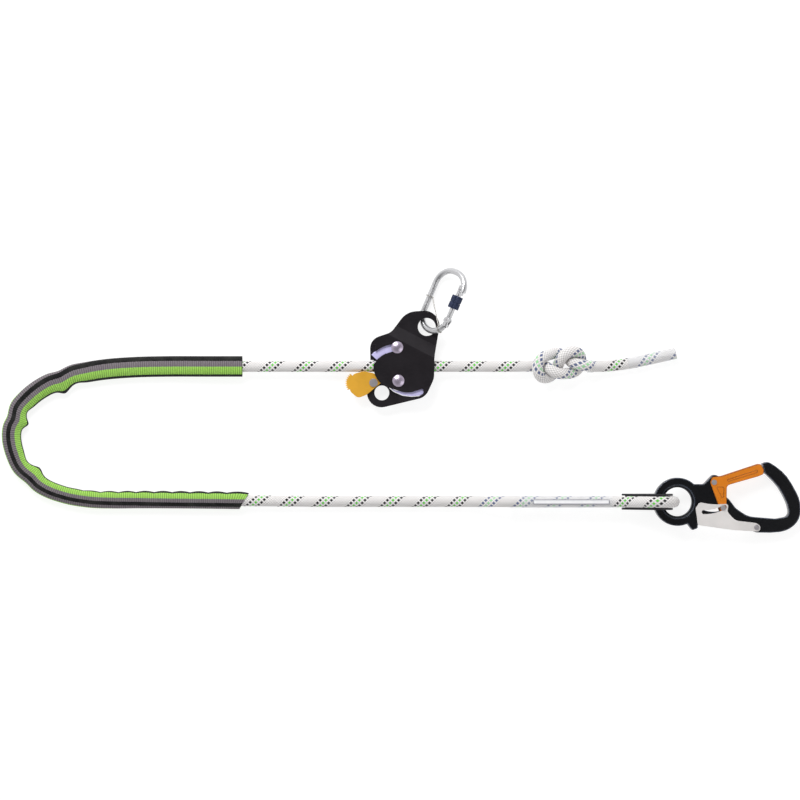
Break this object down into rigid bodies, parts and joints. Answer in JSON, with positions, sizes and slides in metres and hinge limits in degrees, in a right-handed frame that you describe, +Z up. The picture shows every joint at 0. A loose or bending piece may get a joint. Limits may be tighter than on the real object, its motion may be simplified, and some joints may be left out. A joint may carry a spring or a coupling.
{
  "type": "rope grab",
  "caption": "Rope grab with a carabiner, threaded on an adjustable positioning lanyard with a protective sleeve, snap hook and stopper knot.",
  "frame": {"origin": "surface that the lanyard lies on, under the middle of the grab, carabiner and hook's box", "axes": "+Z up from the surface, +X along the rope's standing part from the grab towards the knot, +Y towards the carabiner"},
  "size_m": [0.9999, 0.3311, 0.0517],
  "materials": {
    "rope": "braided white sheath with black and green tracer yarns",
    "webbing": "ribbed tubular webbing, green, grey and black stripes",
    "clear_film": "clear heat-shrink tube",
    "label": "blank label",
    "black_plastic": "moulded",
    "black_forged": "gloss black coated forging",
    "orange_sheet": "orange anodised pressing",
    "bright_sheet": "zinc-plated pressing",
    "plate": "dark anodised aluminium, fine satin",
    "rivet": "turned and polished",
    "steel": "machined steel",
    "spring_steel": "drawn wire",
    "bronze": "turned bush",
    "gold": "gold anodised",
    "bar": "polished zinc-plated bar",
    "navy": "dark blue anodised, knurled",
    "wire": "twisted wire"
  },
  "bodies": {
    "lanyard": {"rope_main": "rope", "rope_eye": "rope", "rope_knot": "rope", "rope_tail": "rope", "protective_sleeve": "webbing", "eye_thimble": "black_plastic", "splice_sleeve": "clear_film", "id_label": "label", "knot_sleeve": "clear_film", "tail_sleeve": "clear_film"},
    "hook": {"hook_frame": "black_forged", "gate_pivot_pin": "steel", "lever_pivot_pin": "steel", "gate_spring": "spring_steel", "lever_spring": "spring_steel"},
    "hook_gate": {"hook_gate": "orange_sheet", "gate_follower_pin": "steel"},
    "hook_lever": {"hook_lever": "bright_sheet"},
    "grab": {"front_plate": "plate", "rear_plate": "plate", "upper_rivet": "rivet", "lower_rivet": "rivet", "rope_bollard": "rivet", "lower_spacer": "rivet", "cam_spring": "spring_steel", "catch_pin": "steel", "catch_spring": "spring_steel"},
    "cam": {"rope_cam": "steel", "cam_bush": "bronze"},
    "catch": {"thumb_catch": "gold"},
    "carabiner": {"carabiner_body": "bar", "carabiner_hinge_pin": "steel", "keeper_wire": "wire"},
    "carabiner_gate": {"carabiner_gate": "bar", "gate_latch_pin": "steel", "gate_plunger": "steel", "plunger_spring": "spring_steel"},
    "screw_sleeve": {"screw_sleeve": "navy"}
  },
  "joints": [
    {"name": "grab_slide", "type": "slide", "parent": "lanyard", "child": "grab", "axis": [1, 0, 0], "range_m": [-0.1, 0.1]},
    {"name": "catch_press", "type": "hinge", "parent": "grab", "child": "catch", "pos_m": [-0.2491, 0.0216, 0.013], "axis": [0, 0, 1], "range_deg": [0, 20], "stiffness_Nm_per_rad": 0.05},
    {"name": "cam_turn", "type": "hinge", "parent": "grab", "child": "cam", "pos_m": [-0.218, 0.024, 0.013], "axis": [0, 0, 1], "range_deg": [-12, 0], "stiffness_Nm_per_rad": 0.05},
    {"name": "carabiner_swing", "type": "hinge", "parent": "grab", "child": "carabiner", "pos_m": [-0.1825, 0.0913, 0.013], "axis": [0, 0, 1], "range_deg": [-25, 25]},
    {"name": "carabiner_gate_hinge", "type": "hinge", "parent": "carabiner", "child": "carabiner_gate", "pos_m": [-0.15661, 0.09905, 0.02925], "axis": [-0.5667, 0.2406, 0.788], "range_deg": [0, 25], "stiffness_Nm_per_rad": 0.06},
    {"name": "screw_travel", "type": "slide", "parent": "carabiner_gate", "child": "screw_sleeve", "axis": [-0.3907, -0.9205, 0], "range_m": [-0.0055, 0.01]},
    {"name": "hook_swing", "type": "hinge", "parent": "lanyard", "child": "hook", "pos_m": [0.13, -0.127, 0.0206], "axis": [0.0941, 0, 0.9956], "range_deg": [-45, 45]},
    {"name": "lever_press", "type": "hinge", "parent": "hook", "child": "hook_lever", "pos_m": [0.22856, -0.159, 0.01128], "axis": [-0.0941, 0, -0.9956], "range_deg": [0, 4.2], "stiffness_Nm_per_rad": 1.5},
    {"name": "hook_gate_turn", "type": "hinge", "parent": "hook", "child": "hook_gate", "pos_m": [0.1753, -0.10275, 0.01632], "axis": [-0.0941, 0, -0.9956], "range_deg": [0, 36], "stiffness_Nm_per_rad": 0.05}
  ],
  "couplings": [
    {"joint": "cam_turn", "follows": "catch_press", "ratio": -0.6},
    {"joint": "hook_gate_turn", "follows": "lever_press", "ratio": 8.5}
  ]
}
